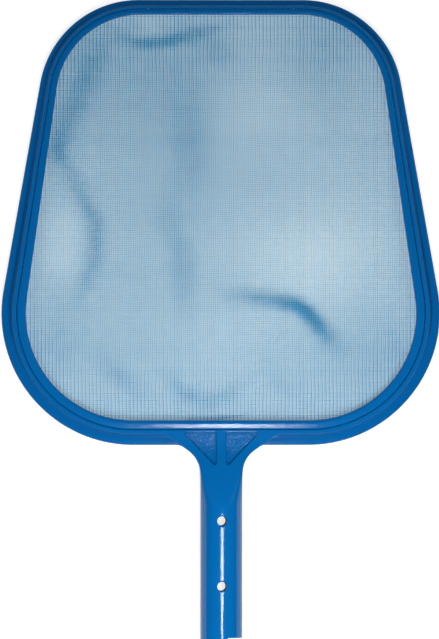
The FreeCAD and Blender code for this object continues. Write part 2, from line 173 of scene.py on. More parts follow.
class GussetSizes(bpy.types.PropertyGroup):
    side_angle: turned("Side angle", "Of the slanted sides, from the rim's edge", 35.2)
    drop: size("Drop", "From the rim's edge to where a slanted side would meet the spigot's side", 0.0094)
    flare_radius: size("Flare radius", "Hollow curve between a slanted side and the spigot", 0.019)
    ledge_radius: size("Ledge radius", "Curve between a slanted side and the ledge", 0.010)
    ramp_start: size("Ramp start", "From the rim's edge to where the face starts to rise", 0.002)
    ramp_radius: size("Ramp radius", "Hollow curve at the foot of the rising face", 0.030)
    corner: size("Corner", "Hollow corner between the rim's edge and the gusset", 0.009)
    side_round: size("Side rounding", "Radius along the gusset's sides", 0.0015)
    recess_inset: size("Recess inset", "From the rim's edge to a recess's long side", 0.009)
    recess_width: size("Recess width", "Width of a recess", 0.023)
    recess_length: size("Recess length", "Length of a recess along the spigot", 0.0243)
    recess_depth: size("Recess depth", "Depth of a recess", 0.0022)
    recess_corner: size("Recess corner", "Radius of a recess's corners", 0.0013)
    recess_lip: size("Recess lip", "Width of the soft edge round a recess", 0.0003)
    centre_rib: size("Centre rib", "Width left between the recesses", 0.0064)
    core_wall: size("Core wall", "Wall round the hollows underneath", 0.0026)
    core_roof: size("Core roof", "Thickness of the face over the hollows underneath", 0.0024)
    core_corner: size("Core corner", "Radius of the corners of the hollows underneath", 0.0015)


class NetSizes(bpy.types.PropertyGroup):
    pitch: size("Pitch", "From one thread to the next", 0.00125)
    warp_width: size("Warp width", "Width of the long threads", 0.0005)
    weft_width: size("Weft width", "Width of the cross threads", 0.00055)
    thickness: size("Thickness", "Thickness of the flat threads", 0.00018)
    crimp: size("Crimp", "How far a thread passes over and under the net's middle", 0.0001)
    edge_gap: size("Edge gap", "From the rebate's wall to the net's cut edge", 0.0004)
    pressed: amount("Pressed", "Share of a thread's thickness that is left under the ring", 0.8)
    sag: size("Sag", "How far the slack net hangs below its edge", 0.0042)
    sag_reach: size("Sag reach", "How soon the net sags away from the ring", 0.03)
    fold_reach: size("Fold reach", "How far from the ring the folds are at full height", 0.014)
    swell: size("Swell", "Height of the gentle waves between the folds", 0.0001)
    drift: size("Drift", "How far the slack threads wander from a straight line", 0.0002)
    tone: amount("Tone", "How pale the threads are between the folds and patches", 0.55)
    gather: amount("Gather", "How much wider the threads spread where the net is deeper", 0.8)
    pairing: size("Pairing", "How far each long thread lies towards its partner", 0.00016)
    uneven: amount("Uneven warp", "How much every other long thread is wider", 0.1)
    stripe: amount("Stripe", "How much paler every other long thread is", 0.3)
    stripe_middle: amount("Stripes in the middle", "Share of the stripes left in the net's middle", 0.15)
    stripe_reach: size("Stripe reach", "How far from the net's ends the stripes fade", 0.07)
    jitter: amount("Jitter", "How much the threads' tones differ", 0.1)
    streak: amount("Streak", "How much a thread's tone varies along it", 0.06)
    seed: number("Seed", "Draws the threads' tones", 7)


class Finishes(bpy.types.PropertyGroup):
    plastic: colour("Plastic", "Colour of the moulded plastic", (0.0008, 0.142, 0.445))
    unevenness: amount("Unevenness", "How much the plastic's tone varies", 0.06)
    roughness: amount("Roughness", "Of the moulded plastic", 0.12)
    specular: amount("Specular", "Strength of the plastic's gloss", 0.32)
    peel: amount("Peel", "Strength of the moulding's fine ripple", 0.12)
    ripple: amount("Ripple", "Strength of the ring's waves", 0.25)
    grain: size("Ring's grain", "Depth of the ring's fine grain", 0.00006)
    stipple: size("Stipple", "Depth of the stippling in the recesses", 0.0006)
    warp_pale: colour("Pale warp", "The long threads where they are palest", (0.60, 0.84, 0.98))
    warp_deep: colour("Deep warp", "The long threads where they are deepest", (0.0, 0.23, 0.50))
    weft_pale: colour("Pale weft", "The cross threads where they are palest", (0.70, 0.90, 0.98))
    weft_deep: colour("Deep weft", "The cross threads where they are deepest", (0.01, 0.31, 0.58))


class StageSettings(bpy.types.PropertyGroup):
    floor: colour("Floor", "Colour of the floor", (0.5, 0.5, 0.5))
    glow: colour("Floor's glow", "Light that the floor adds where the camera sees it", (0.76, 0.76, 0.76))
    # The glow of the floor under the net is a painted shadow of the net, tinted blue
    shade_glow: colour("Shaded floor's glow", "Light that the floor adds under the net", (0.33, 0.46, 0.56))
    floor_size: size("Floor size", "Half width of the floor", 3.0)
    sky: colour("Sky", "Colour of the soft light all round", (1.0, 1.0, 1.0))
    sky_strength: amount("Sky strength", "Strength of the soft light all round", 0.03)
    key_place: place_of("Key place", "Place of the light over the spigot", (0.017, -0.182, 0.4))
    key_size: bpy.props.FloatVectorProperty(name="Key size", description="Width and length of the light",
                                            default=(0.058, 0.095), size=2)
    key_power: amount("Key power", "Power of the light over the spigot", 0.6, 100.0)
    soft_place: place_of("Soft place", "Place of the wide light", (0, -0.68, 0.95))
    soft_size: size("Soft size", "Width of the wide light", 0.5)
    soft_power: amount("Soft power", "Power of the wide light", 5.8, 100.0)
    fill_place: place_of("Fill place", "Place of the light on the right", (1.3, 0.45, 1.2))
    fill_size: size("Fill size", "Width of the lights at the sides", 0.8)
    fill_power: amount("Fill power", "Power of the lights at the sides", 8.0, 200.0)
    distance: size("Distance", "From the floor to the camera", 9.0)
    lens: bpy.props.FloatProperty(name="Lens", description="Focal length in millimetres", default=748.6)
    view_x: size("View X", "Where the camera looks at, across the net", -0.0007)
    view_y: size("View Y", "Where the camera looks at, along the net", 0.0012)
    view_lean: turned("View lean", "How far the camera leans to the left of straight down", 2)


def settings(name):
    return getattr(bpy.context.scene, "skimmer_" + name)


# Places along Y that several pieces share
def back_y():
    return FRONT_Y - settings("rim").length


def ledge_y():
    return back_y() + settings("rim").ledge_inset


def neck_y():
    gusset = settings("gusset")
    return back_y() - gusset.drop - gusset.flare_radius * math.tan((math.pi / 2 - gusset.side_angle) / 2)


def round_y():
    return neck_y() - settings("spigot").neck_length


def slope(back_height, front_height):
    """Height as a function of Y, for a top that slopes evenly from the rim's back edge to its front lip."""
    fall = (front_height - back_height) / settings("rim").length
    return lambda y: back_height + fall * (y - back_y())


def gusset_face():
    """The height of the ledge's and gusset's face as a function of Y, and the ends of its hollow arc."""
    rim = settings("rim")
    gusset = settings("gusset")
    ledge = slope(rim.ledge_back, rim.ledge_front)
    corner_y = back_y() - gusset.ramp_start
    corner = Vector((corner_y, ledge(corner_y)))
    front = (Vector((FRONT_Y, rim.ledge_front)) - corner).normalized()
    behind = (Vector((round_y(), 2 * SPIGOT_RADIUS)) - corner).normalized()
    half = front.angle(behind) / 2
    reach = gusset.ramp_radius / math.tan(half)
    centre = corner + (front + behind).normalized() * (gusset.ramp_radius / math.sin(half))
    low_y = corner.x + behind.x * reach
    high_y = corner.x + front.x * reach

    def height(y):
        if y > high_y:
            return ledge(y)
        if y < low_y:
            return corner.y + behind.y / behind.x * (y - corner.x)
        return centre.y - math.sqrt(gusset.ramp_radius ** 2 - (y - centre.x) ** 2)
    return height, low_y, high_y


# Loops and solids
def extended(bm, vert, place):
    """Draws an edge from a vertex to a place and returns its far vertex."""
    far = bmesh.ops.extrude_vert_indiv(bm, verts=[vert])["verts"][0]
    far.co = place
    return far


def run(bm, vert, place, pieces):
    """Draws a straight run of edges to a place."""
    start = vert.co.copy()
    for step in range(1, pieces + 1):
        vert = extended(bm, vert, start.lerp(place, step / pieces))
    return vert


def turn(bm, vert, centre, angle, steps):
    """Draws an arc of edges round a centre, in a level plane."""
    made = bmesh.ops.spin(bm, geom=[vert], cent=centre, axis=(0, 0, 1), angle=angle, steps=steps)
    return [item for item in made["geom_last"] if isinstance(item, bmesh.types.BMVert)][0]


def loop_verts(edges):
    return list(dict.fromkeys(vert for edge in edges for vert in edge.verts))


def edges_at(verts):
    return list(dict.fromkeys(edge for vert in verts for edge in vert.link_edges))


def raise_to(edges, height):
    """Puts a level loop at a height, which is a number or a function of Y."""
    for vert in loop_verts(edges):
        vert.co.z = height(vert.co.y) if callable(height) else height


def half_loop(bm, inset, height=0.0):
    """Draws the right half of the rim's line at an inset, from the back's middle to the front's."""
    rim = settings("rim")
    part = inset / rim.band_back
    back_radius = rim.back_radius - inset
    front_radius = rim.front_radius - part * rim.band_front
    back = Vector((FRAME_HIGH.x - part * rim.band_back_side - back_radius,
                   back_y() + inset + back_radius, 0))
    front = Vector((rim.front_reach - part * rim.band_front_side - front_radius,
                    FRONT_Y - part * rim.band_front - front_radius, 0))
    apart = front - back
    lean = math.asin((back_radius - front_radius) / apart.length) + math.atan2(-apart.x, apart.y)
    before = set(bm.edges)
    vert = bm.verts.new((0, back.y - back_radius, 0))
    vert = run(bm, vert, Vector((back.x, back.y - back_radius, 0)), RUN_STEPS)
    vert = turn(bm, vert, back, math.pi / 2 + lean, CORNER_STEPS)
    side_end = front + Matrix.Rotation(lean, 3, "Z") @ Vector((front_radius, 0, 0))
    vert = run(bm, vert, side_end, RUN_STEPS)
    vert = turn(bm, vert, front, math.pi / 2 - lean, CORNER_STEPS)
    run(bm, vert, Vector((0, vert.co.y, 0)), RUN_STEPS)
    edges = [edge for edge in bm.edges if edge not in before]
    raise_to(edges, height)
    return edges


def half_path(inset):
    """The right half of the rim's line at an inset, as points in order from the back to the front."""
    bm = bmesh.new()
    path = np.array([vert.co[:] for vert in loop_verts(half_loop(bm, inset))])
    bm.free()
    middle_y = (path[:, 1].min() + path[:, 1].max()) / 2
    return path[np.argsort(np.arctan2(path[:, 0], middle_y - path[:, 1]))]


def even_points(inset, steps):
    """Points at even steps along the right half of the rim's line."""
    path = half_path(inset)
    along = np.concatenate([[0], np.cumsum(np.linalg.norm(np.diff(path, axis=0), axis=1))])
    even = np.linspace(0, along[-1], steps + 1)
    return [Vector([np.interp(place, along, path[:, axis]) for axis in range(3)]) for place in even]


def rounded_loop(bm, corners, height=0.0, steps=6):
    """A closed loop of edges through (x, y, radius) corners, each turned by a tangent arc."""
    before = set(bm.edges)
    points = [Vector((x, y, 0)) for x, y, _ in corners]
    vert = None
    for index, (_, _, radius) in enumerate(corners):
        here = points[index]
        behind = (points[index - 1] - here).normalized()
        ahead = (points[(index + 1) % len(points)] - here).normalized()
        half = behind.angle(ahead) / 2
        start = here + behind * (radius / math.tan(half))
        if vert is None:
            vert = bm.verts.new(start)
            first = vert
        elif (start - vert.co).length > MERGE:
            vert = extended(bm, vert, start)
        if radius:
            centre = here + (behind + ahead).normalized() * (radius / math.sin(half))
            angle = math.copysign(math.pi - 2 * half, ahead.cross(behind).z)
            vert = turn(bm, vert, centre, angle, steps)
    if (vert.co - first.co).length > MERGE:
        bm.edges.new((vert, first))
    else:
        bmesh.ops.weld_verts(bm, targetmap={vert: first})
    edges = [edge for edge in bm.edges if edge not in before]
    raise_to(edges, height)
    return edges


def with_mirror_image(corners):
    """The corners of a right half and their mirror images, as one outline."""
    return corners + [(-x, y, radius) for x, y, radius in reversed(corners)]


def grown(corners, by):
    """A polygon's corners moved out by a distance, with their radii to match."""
    centre = sum((Vector((x, y)) for x, y, _ in corners), Vector((0, 0))) / len(corners)
    moved = []
    for index, (x, y, radius) in enumerate(corners):
        here = Vector((x, y))
        behind = (Vector(corners[index - 1][:2]) - here).normalized()
        ahead = (Vector(corners[(index + 1) % len(corners)][:2]) - here).normalized()
        inward = (behind + ahead).normalized()
        reach = by / math.sin(behind.angle(ahead) / 2)
        place = here - inward * math.copysign(reach, inward.dot(centre - here))
        moved.append((place.x, place.y, max(radius + by, 0)))
    return moved


def bridged(bm, loops, closed=False):
    """Walls between each loop and the next, with flat ends unless the walls close into a ring."""
    pairs = list(zip(loops, loops[1:]))
    if closed:
        pairs.append((loops[-1], loops[0]))
    else:
        for loop in (loops[0], loops[-1]):
            bmesh.ops.contextual_create(bm, geom=loop)
    for first, second in pairs:
        bmesh.ops.bridge_loops(bm, edges=first + second)
    bmesh.ops.recalc_face_normals(bm, faces=bm.faces)


def both_halves(bm):
    bmesh.ops.mirror(bm, geom=bm.verts[:] + bm.edges[:] + bm.faces[:], axis="X", merge_dist=MERGE)


def rounded_edges(bm, edges, radius, segments):
    bmesh.ops.bevel(bm, geom=edges, offset=radius, offset_type="OFFSET", segments=segments, profile=0.5,
                    affect="EDGES", material=-1, clamp_overlap=True)


def prism(bm, corners, low, high):
    """A prism over an outline of (x, y, radius) corners. Returns the edges of its foot and of its top."""
    foot = rounded_loop(bm, corners, low)
    top = rounded_loop(bm, corners, high)
    bridged(bm, [foot, top])
    return foot, top


def draped(bm, face):
    """Bends a flat solid's top along the gusset's face. What lies deep below it becomes the foot."""
    height, low_y, high_y = face
    for place in np.arange(low_y, high_y + SLICE, SLICE):
        bmesh.ops.bisect_plane(bm, geom=bm.verts[:] + bm.edges[:] + bm.faces[:], dist=MERGE,
                               plane_co=(0, place, 0), plane_no=(0, 1, 0))
    for vert in bm.verts:
        vert.co.z += TALL if vert.co.z < -TALL / 2 else height(vert.co.y)


def in_scene(name, data):
    """An object of a mesh, curve, light or camera, in the scene."""
    made = bpy.data.objects.new(name, data)
    bpy.context.scene.collection.objects.link(made)
    return made


def solid(name, bm, finish=0):
    """Makes an object of a bmesh, with its faces turned outwards and one finish all over."""
    bmesh.ops.remove_doubles(bm, verts=bm.verts, dist=MERGE)
    bmesh.ops.recalc_face_normals(bm, faces=bm.faces)
    for face in bm.faces:
        face.material_index = finish
    mesh = bpy.data.meshes.new(name)
    for _ in range(FINISHES):
        mesh.materials.append(None)
    bm.to_mesh(mesh)
    bm.free()
    return in_scene(name, mesh)


def with_modifiers(piece):
    """Makes a piece's mesh what its modifiers give."""
    evaluated = piece.evaluated_get(bpy.context.evaluated_depsgraph_get())
    mesh = bpy.data.meshes.new_from_object(evaluated)
    old = piece.data
    piece.modifiers.clear()
    piece.data = mesh
    bpy.data.meshes.remove(old)
    mesh.name = piece.name


def combined(body, tools, operation):
    """Joins solids to a body or cuts them out of it, and deletes them."""
    for tool in tools:
        change = body.modifiers.new("combine", "BOOLEAN")
        change.operation = operation
        change.solver = "EXACT"
        change.object = tool
    with_modifiers(body)
    for tool in tools:
        mesh = tool.data
        bpy.data.objects.remove(tool)
        bpy.data.meshes.remove(mesh)


def mirrored_copy(piece):
    copy = in_scene(piece.name, piece.data.copy())
    copy.data.transform(Matrix.Scale(-1, 4, (1, 0, 0)))
    copy.data.flip_normals()
    return copy


# The main frame
def rim_solid():
    """The rim: flange, cove, ledge, rebate, shelf and the channel underneath, swept round in one section."""
    rim = settings("rim")
    flange = slope(rim.flange_back, rim.flange_front)
    ledge = slope(rim.ledge_back, rim.ledge_front)
    roof = NET_LOW.z - rim.shelf_thickness
    bm = bmesh.new()
    foot = half_loop(bm, 0)
    flange_edge = half_loop(bm, 0, flange)
    cove = half_loop(bm, rim.ledge_inset, flange)
    ledge_edge = half_loop(bm, rim.ledge_inset, ledge)
    rebate_edge = half_loop(bm, rim.rebate_inset, ledge)
    rebate_foot = half_loop(bm, rim.rebate_inset, NET_LOW.z)
    shelf_edge = half_loop(bm, rim.shelf_inset, NET_LOW.z)
    inner_foot = half_loop(bm, rim.shelf_inset)
    channel_foot = half_loop(bm, rim.channel_inner)
    channel_roof = half_loop(bm, rim.channel_inner, roof)
    outer_roof = half_loop(bm, rim.channel_outer, roof)
    outer_foot = half_loop(bm, rim.channel_outer)
    bridged(bm, [foot, flange_edge, cove, ledge_edge, rebate_edge, rebate_foot, shelf_edge, inner_foot,
                 channel_foot, channel_roof, outer_roof, outer_foot], closed=True)
    rounded_edges(bm, cove, rim.cove_round, FLANGE_STEPS)
    rounded_edges(bm, flange_edge, rim.flange_round, FLANGE_STEPS)
    rounded_edges(bm, ledge_edge, rim.ledge_round, LEDGE_STEPS)
    rounded_edges(bm, foot, rim.foot_round, FOOT_STEPS)
    fine = rebate_edge + shelf_edge + inner_foot + channel_roof + outer_roof
    rounded_edges(bm, fine, rim.fine_round, FINE_STEPS)
    both_halves(bm)
    return solid("main_frame_body", bm)


def gusset_side_x(y):
    """Where the straight slanted side of the gusset stands."""
    gusset = settings("gusset")
    return SPIGOT_RADIUS + (y - back_y() + gusset.drop) / math.tan(gusset.side_angle)


def gusset_solid():
    """The gusset from the ledge to the neck, its face's edges rounded."""
    rim = settings("rim")
    gusset = settings("gusset")
    wall_y = ledge_y() + SLIP
    ledge_x = gusset_side_x(wall_y)
    far_x = ledge_x + 2 * gusset.ledge_radius * math.tan(gusset.side_angle / 2)
    inner_y = (ledge_y() + back_y() + rim.rebate_inset) / 2
    corners = [(far_x, inner_y, 0), (far_x, wall_y, 0), (ledge_x, wall_y, gusset.ledge_radius),
               (SPIGOT_RADIUS, back_y() - gusset.drop, gusset.flare_radius),
               (SPIGOT_RADIUS, neck_y() - SLIP, 0)]
    bm = bmesh.new()
    foot, top = prism(bm, with_mirror_image(corners), SLIP - TALL, SLIP)
    rounded_edges(bm, along_outline(top, inner_y), gusset.side_round, SIDE_STEPS)
    rounded_edges(bm, along_outline(foot, inner_y), rim.foot_round, FOOT_STEPS)
    draped(bm, gusset_face())
    return solid("gusset", bm)


def along_outline(edges, inner_y):
    """The edges along the slanted sides, without those inside the rim and across the neck."""
    def outside(edge):
        middle = (edge.verts[0].co + edge.verts[1].co) / 2
        return middle.y < inner_y - MERGE and abs(middle.x) > MERGE
    return [edge for edge in edges if outside(edge)]


def skirt_solid():
    """The low corner between the rim's outer edge and the gusset's sides."""
    rim = settings("rim")
    gusset = settings("gusset")
    edge_y = back_y() + SLIP
    low_y = back_y() - gusset.drop / 2
    corner_x = gusset_side_x(edge_y)
    far_x = corner_x + gusset.corner
    corners = [(far_x, ledge_y(), 0), (far_x, edge_y, 0), (corner_x, edge_y, gusset.corner),
               (gusset_side_x(low_y), low_y, 0)]
    bm = bmesh.new()
    flange = slope(rim.flange_back - SLIP, rim.flange_front)
    foot, top = prism(bm, with_mirror_image(corners), 2 * SLIP, flange)
    rounded_edges(bm, along_outline(top, ledge_y()), rim.flange_round, FLANGE_STEPS)
    rounded_edges(bm, along_outline(foot, ledge_y()), rim.foot_round, FOOT_STEPS)
    return solid("skirt", bm)


def squared_place(angle, half_width, low, high):
    """The point of the neck's squared section that an angle of the spigot's circle runs to."""
    crease = settings("spigot").crease_angle
    quarter = math.pi / 2
    top_round = settings("gusset").side_round
    foot_round = settings("rim").foot_round
    radii = [top_round, top_round, foot_round, foot_round]
    signs = [(1, 1), (-1, 1), (-1, -1), (1, -1)]

    def on_corner(index, direction):
        radius = radii[index % 4]
        across, up = signs[index % 4]
        x = across * (half_width - radius) + radius * math.cos(direction)
        z = (high - radius if up > 0 else low + radius) + radius * math.sin(direction)
        return Vector((x, 0, z))
    index = math.floor((angle - crease + MERGE) % (2 * math.pi) / quarter)
    start = index * quarter + crease
    past = (angle - start) % (2 * math.pi)
    bend = quarter - 2 * crease
    if past < bend:
        return on_corner(index, quarter * (index + past / bend))
    end = quarter * (index + 1)
    return on_corner(index, end).lerp(on_corner(index + 1, end), (past - bend) / (2 * crease))


def spigot_loop(bm, y, squared, high, shrink=0.0):
    """A loop round the neck or the spigot. Squared is 1 for the gusset's section and 0 for the circle."""
    made = bmesh.ops.create_circle(bm, segments=ROUND_STEPS, radius=SPIGOT_RADIUS - shrink)
    for vert in made["verts"]:
        angle = math.atan2(vert.co.y, vert.co.x)
        round_place = Vector((vert.co.x, 0, SPIGOT_RADIUS + vert.co.y))
        flat_place = squared_place(angle, SPIGOT_RADIUS - shrink, shrink, high - shrink)
        vert.co = round_place.lerp(flat_place, squared)
        vert.co.y = y
    return edges_at(made["verts"])


def spigot_solid():
    """The neck and the spigot as one solid, which reaches a little into the gusset."""
    spigot = settings("spigot")
    bm = bmesh.new()
    height = gusset_face()[0]
    high = height(neck_y())
    loops = [spigot_loop(bm, neck_y() + PLUG, 1, height(neck_y() + PLUG), 3 * SLIP)]
    for step in range(NECK_STEPS + 1):
        share = step / NECK_STEPS
        loops.append(spigot_loop(bm, neck_y() - share * spigot.neck_length, 1 - share, high))
    end = spigot_loop(bm, END_Y, 0, high)
    loops.append(end)
    bridged(bm, loops)
    rounded_edges(bm, end, spigot.mouth_round, FOOT_STEPS)
    return solid("spigot", bm)


def recess_cutter():
    """The right triangular recess, with a soft lip."""
    gusset = settings("gusset")
    top_y = back_y() + gusset.recess_inset
    inner_x = gusset.centre_rib / 2
    corners = [(inner_x, top_y, gusset.recess_corner),
               (inner_x + gusset.recess_width, top_y, gusset.recess_corner),
               (inner_x, top_y - gusset.recess_length, gusset.recess_corner)]
    lip = gusset.recess_lip
    bm = bmesh.new()
    stations = [(0, -gusset.recess_depth), (0, -lip), (lip * LIP_BEND, -lip * LIP_BEND),
                (lip, 0), (2 * lip, lip)]
    loops = [rounded_loop(bm, grown(corners, by), height) for by, height in stations]
    bridged(bm, loops)
    rounded_edges(bm, loops[0], settings("rim").fine_round, FINE_STEPS)
    draped(bm, gusset_face())
    return solid("recess", bm, finish=1)


def core_cutter():
    """The right hollow under the gusset, between the rim, the side, the centre rib and the bore's end."""
    gusset = settings("gusset")
    spigot = settings("spigot")
    wall = gusset.core_wall
    inner_x = gusset.centre_rib / 2
    spigot_x = SPIGOT_RADIUS - wall
    drop = wall / math.sin(gusset.side_angle)
    shift = wall / math.cos(gusset.side_angle)
    bend_y = back_y() - gusset.drop + shift - wall * math.tan(gusset.side_angle)
    end_y = END_Y + spigot.bore_depth + wall
    corner = gusset.core_corner
    corners = [(inner_x, back_y(), corner), (gusset_side_x(back_y()) - drop, back_y(), corner),
               (spigot_x, bend_y, gusset.flare_radius / 2), (spigot_x, end_y, corner),
               (inner_x, end_y, corner)]
    bm = bmesh.new()
    _, top = prism(bm, corners, -CORE_DEPTH, -gusset.recess_depth - gusset.core_roof)
    rounded_edges(bm, top, 2 * settings("rim").fine_round, FINE_STEPS)
    draped(bm, gusset_face())
    return solid("core", bm)


def bore_cutter():
    spigot = settings("spigot")
    depth = spigot.bore_depth + spigot.wall
    radius = SPIGOT_RADIUS - spigot.wall
    bm = bmesh.new()
    middle = Matrix.Translation((0, END_Y - spigot.wall + depth / 2, SPIGOT_RADIUS))
    bmesh.ops.create_cone(bm, cap_ends=True, segments=ROUND_STEPS, radius1=radius, radius2=radius,
                          depth=depth, matrix=middle @ Matrix.Rotation(math.pi / 2, 4, "X"))
    return solid("bore", bm)


def clip_hole_cutter(y):
    """A hole down through both walls of the spigot, flared where it comes out."""
    spigot = settings("spigot")
    radius = spigot.hole_radius
    flare = spigot.hole_flare
    saddle = SPIGOT_RADIUS - math.sqrt(SPIGOT_RADIUS ** 2 - (radius + flare) ** 2)
    top = 2 * SPIGOT_RADIUS
    bm = bmesh.new()
    stations = [(-flare, radius + 2 * flare), (saddle, radius + flare / 3), (saddle + flare / 2, radius),
                (top - saddle - flare / 2, radius), (top - saddle, radius + flare / 3),
                (top + flare, radius + 2 * flare)]
    loops = []
    for height, wide in stations:
        place = Matrix.Translation((0, y, height))
        made = bmesh.ops.create_circle(bm, segments=HOLE_STEPS, radius=wide, matrix=place)
        loops.append(edges_at(made["verts"]))
    bridged(bm, loops)
    return solid("clip_hole", bm)


def notch_cutter():
    spigot = settings("spigot")
    top_y = END_Y + spigot.notch_depth
    low_y = END_Y - spigot.notch_depth
    reach = 2 * SPIGOT_RADIUS
    corners = [(spigot.notch_offset, low_y, 0), (spigot.notch_offset, top_y, spigot.notch_corner),
               (reach, top_y, 0), (reach, low_y, 0)]
    bm = bmesh.new()
    prism(bm, corners, -SPIGOT_RADIUS, TALL)
    return solid("notch", bm)


def rib_solids():
    """The ribs across the channel, evenly spaced round the rim, as one mesh of separate boxes."""
    rim = settings("rim")
    roof = NET_LOW.z - rim.shelf_thickness + SLIP
    middle = (rim.channel_outer + rim.channel_inner) / 2 / rim.band_back
    reach = ((rim.channel_inner - rim.channel_outer) / 2 + rim.foot_round) / rim.band_back
    bm = bmesh.new()
    outer = even_points(0, rim.rib_count)
    inner = even_points(rim.band_back, rim.rib_count)
    for start, end in zip(outer, inner):
        half_length = (end - start).length * reach
        add_blocks(bm, start, end, middle, (half_length, rim.rib_thickness / 2), SLIP, roof + SLIP)
    return solid("ribs", bm)


def add_blocks(bm, start, end, share, halves, low, high):
    """A level block across the rim, at a share of the way from start to end, and its mirror image."""
    scale = Matrix.Diagonal((2 * halves[0], 2 * halves[1], high - low, 1))
    for side in (1, -1) if abs(start.x) > MERGE else (1,):
        flip = Vector((side, 1, 1))
        centre = start.lerp(end, share) * flip
        across = (end - start) * flip
        angle = math.atan2(across.y, across.x)
        place = Matrix.Translation((centre.x, centre.y, (low + high) / 2))
        bmesh.ops.create_cube(bm, size=1.0, matrix=place @ Matrix.Rotation(angle, 4, "Z") @ scale)


def tab_blocks(clearance, low, high):
    """The ring's tabs, one between each two ribs, each grown by a clearance."""
    rim = settings("rim")
    ring = settings("ring")
    bm = bmesh.new()
    outer = even_points(0, 2 * rim.rib_count)[1::2]
    inner = even_points(rim.band_back, 2 * rim.rib_count)[1::2]
    halves = (ring.tab_thickness / 2 + clearance, ring.tab_length / 2 + clearance)
    for start, end in zip(outer, inner):
        add_blocks(bm, start, end, ring.tab_inset / rim.band_back, halves, low, high)
    return solid("tabs", bm)


def dress(mesh, materials):
    """Puts materials in a solid's slots and takes away the slots that are left."""
    for place, material in enumerate(materials):
        mesh.materials[place] = material
    while len(mesh.materials) > len(materials):
        mesh.materials.pop(index=len(mesh.materials) - 1)


def finished(piece, materials):
    """Smooth shading with sharp corners kept, materials, and the piece's place in the frame."""
    mesh = piece.data
    dress(mesh, materials)
    mesh.shade_smooth()
    mesh.set_sharp_from_angle(angle=SHARP_ANGLE)
    change = piece.modifiers.new("even_shading", "WEIGHTED_NORMAL")
    change.keep_sharp = True
    with_modifiers(piece)
    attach(piece, "root")


def check_closed(piece):
    bm = bmesh.new()
    bm.from_mesh(piece.data)
    count = sum(1 for edge in bm.edges if not edge.is_manifold)
    bm.free()
    if count:
        raise RuntimeError(f"{piece.name} has {count} open edges")


# The ring
def ring_section():
    """The ring's rounded top from the ledge to the net, as places (inset, how far below the crown's top)."""
    rim = settings("rim")
    ring = settings("ring")
    outer = rim.rebate_inset + ring.clearance
    crown_start = outer + ring.outer_round
    crown_end = ring.inner_inset - ring.inner_round
    outer_steps, slope_steps, inner_steps = CROWN_STEPS
    places = []
    for angle in np.linspace(0, math.pi / 2, outer_steps + 1):
        places.append((crown_start - ring.outer_round * math.cos(angle),
                       ring.crown_fall + ring.outer_round * (1 - math.sin(angle))))
    for share in np.linspace(0, 1, slope_steps + 1)[1:]:
        below = ring.crown_fall * (1 - share) * (1 - ring.crown_bend * share)
        places.append((crown_start + share * (crown_end - crown_start), below))
    for angle in np.linspace(0, math.pi / 2, inner_steps + 1)[1:]:
        places.append((crown_end + ring.inner_round * math.sin(angle),
                       ring.inner_round * (1 - math.cos(angle))))
    return places


def ring_solid():
    """The bead that clamps the net, its crown rounded."""
    rim = settings("rim")
    ring = settings("ring")
    bm = bmesh.new()
    outer_foot = half_loop(bm, rim.rebate_inset + ring.clearance, NET_HIGH.z)
    loops = [outer_foot]
    for inset, below in ring_section():
        top = slope(rim.ledge_back + ring.proud - below, rim.ledge_front + ring.proud - below)
        loops.append(half_loop(bm, inset, top))
    inner_foot = half_loop(bm, ring.inner_inset, NET_HIGH.z)
    bridged(bm, loops + [inner_foot], closed=True)
    rounded_edges(bm, outer_foot + inner_foot, rim.fine_round, FINE_STEPS)
    both_halves(bm)
    return solid("retaining_ring_bead", bm)


# The net
def net_path():
    """The right half of the net's cut edge."""
    return half_path(settings("rim").rebate_inset + settings("net").edge_gap)


def thread_ends(places, path, along_y):
    """Where threads at these places start and end on the net's edge."""
    if along_y:
        widest = int(np.argmax(path[:, 0]))
        low = np.interp(np.abs(places), path[:widest + 1, 0], path[:widest + 1, 1])
        high = np.interp(-np.abs(places), -path[widest:, 0], path[widest:, 1])
        return low, high
    reach = np.interp(places, path[:, 1], path[:, 0])
    return -reach, reach


def near_path(x, y, path):
    """Each point's distance from a line through the path's places, and the strength of the line beside it."""
    best = np.full(x.shape, 1.0)
    strength = np.zeros(x.shape)
    for start, end in zip(path, path[1:]):
        run_x = end[0] - start[0]
        run_y = end[1] - start[1]
        share = ((x - start[0]) * run_x + (y - start[1]) * run_y) / (run_x ** 2 + run_y ** 2)
        share = np.clip(share, 0, 1)
        apart = np.hypot(x - start[0] - share * run_x, y - start[1] - share * run_y)
        strength = np.where(apart < best, start[2] + share * (end[2] - start[2]), strength)
        best = np.minimum(best, apart)
    return best, strength


def smooth_step(value):
    value = np.clip(value, 0, 1)
    return value * value * (3 - 2 * value)
